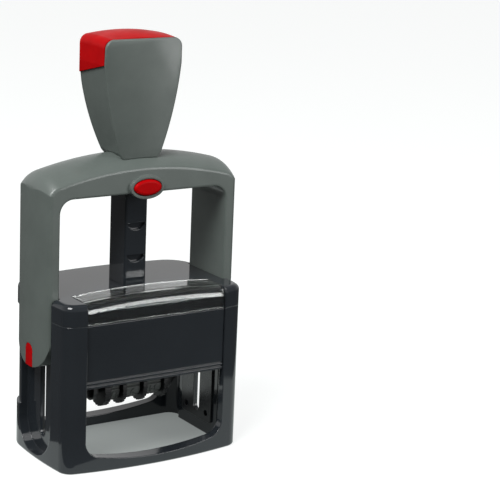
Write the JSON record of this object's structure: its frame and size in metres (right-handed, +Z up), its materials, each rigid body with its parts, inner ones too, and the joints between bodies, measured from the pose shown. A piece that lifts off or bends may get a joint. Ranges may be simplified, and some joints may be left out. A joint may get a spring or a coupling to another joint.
{
  "type": "self-inking date stamp",
  "caption": "Heavy-duty self-inking date stamp: grey bow and grip over a glossy black housing, with a turn-over carriage, date wheels and an ink pad drawer",
  "frame": {"origin": "centre of the housing's underside, on the surface that it stands on", "axes": "+Z up along the stroke, +X to the right along the printing plate, +Y to the rear, where the pad drawer comes out"},
  "size_m": [0.0924, 0.0592, 0.1784],
  "materials": {
    "black_case": "moulded glossy black",
    "clear_window": "clear moulded acrylic",
    "card": "plain card",
    "spring_steel": "drawn wire",
    "steel": "rolled and turned steel",
    "grey_shell": "fine moulded grain, mid grey",
    "red_trim": "moulded satin red",
    "dark_frame": "moulded dark grey",
    "die_rubber": "engraved stamp rubber",
    "band_rubber": "moulded band rubber",
    "dial_plastic": "moulded black",
    "ink_felt": "inked felt"
  },
  "bodies": {
    "housing": {"base_case": "black_case", "top_cover": "black_case", "front_panel": "black_case", "rear_panel": "black_case", "index_window": "clear_window", "index_card": "card", "guide_column": "black_case", "return_spring": "spring_steel", "left_guide_plate": "steel", "right_guide_plate": "steel"},
    "bow": {"bow_frame": "grey_shell", "left_axle_cap": "red_trim", "right_axle_cap": "red_trim", "left_axle_pin": "steel", "right_axle_pin": "steel", "grip_front_plate": "grey_shell", "grip_rear_plate": "grey_shell", "grip_core": "grey_shell", "grip_cap": "red_trim"},
    "latch": {"lock_button": "red_trim"},
    "carriage": {"carriage_frame": "dark_frame", "left_flip_cam": "dark_frame", "right_flip_cam": "dark_frame", "text_plate": "dark_frame", "rubber_die": "die_rubber", "band_bridge": "dark_frame", "wheel_axle": "steel", "day_band": "band_rubber", "month_band": "band_rubber", "year_band": "band_rubber"},
    "day_dial": {"day_wheel": "dial_plastic"},
    "month_dial": {"month_wheel": "dial_plastic"},
    "year_dial": {"year_wheel": "dial_plastic"},
    "drawer": {"pad_drawer": "black_case", "ink_pad": "ink_felt"}
  },
  "joints": [
    {"name": "bow_press", "type": "slide", "parent": "housing", "child": "bow", "axis": [0, 0, -1], "range_m": [0, 0.036], "stiffness_N_per_m": 300, "springref_m": -0.02, "deforming": ["return_spring"]},
    {"name": "lock_button_press", "type": "slide", "parent": "bow", "child": "latch", "axis": [0, 1, 0], "range_m": [0, 0.0018], "stiffness_N_per_m": 400},
    {"name": "carriage_flip", "type": "hinge", "parent": "bow", "child": "carriage", "pos_m": [0, 0, 0.047], "axis": [1, 0, 0], "range_deg": [0, 180]},
    {"name": "day_wheel_turn", "type": "hinge", "parent": "carriage", "child": "day_dial", "pos_m": [0, 0, 0.0256], "axis": [1, 0, 0], "continuous": true},
    {"name": "month_wheel_turn", "type": "hinge", "parent": "carriage", "child": "month_dial", "pos_m": [0, 0, 0.0256], "axis": [1, 0, 0], "continuous": true},
    {"name": "year_wheel_turn", "type": "hinge", "parent": "carriage", "child": "year_dial", "pos_m": [0, 0, 0.0256], "axis": [1, 0, 0], "continuous": true},
    {"name": "drawer_slide", "type": "slide", "parent": "housing", "child": "drawer", "axis": [0, 1, 0], "range_m": [0, 0.05]}
  ],
  "couplings": [
    {"joint": "carriage_flip", "follows": "bow_press", "rad_per_m": 87.266}
  ]
}
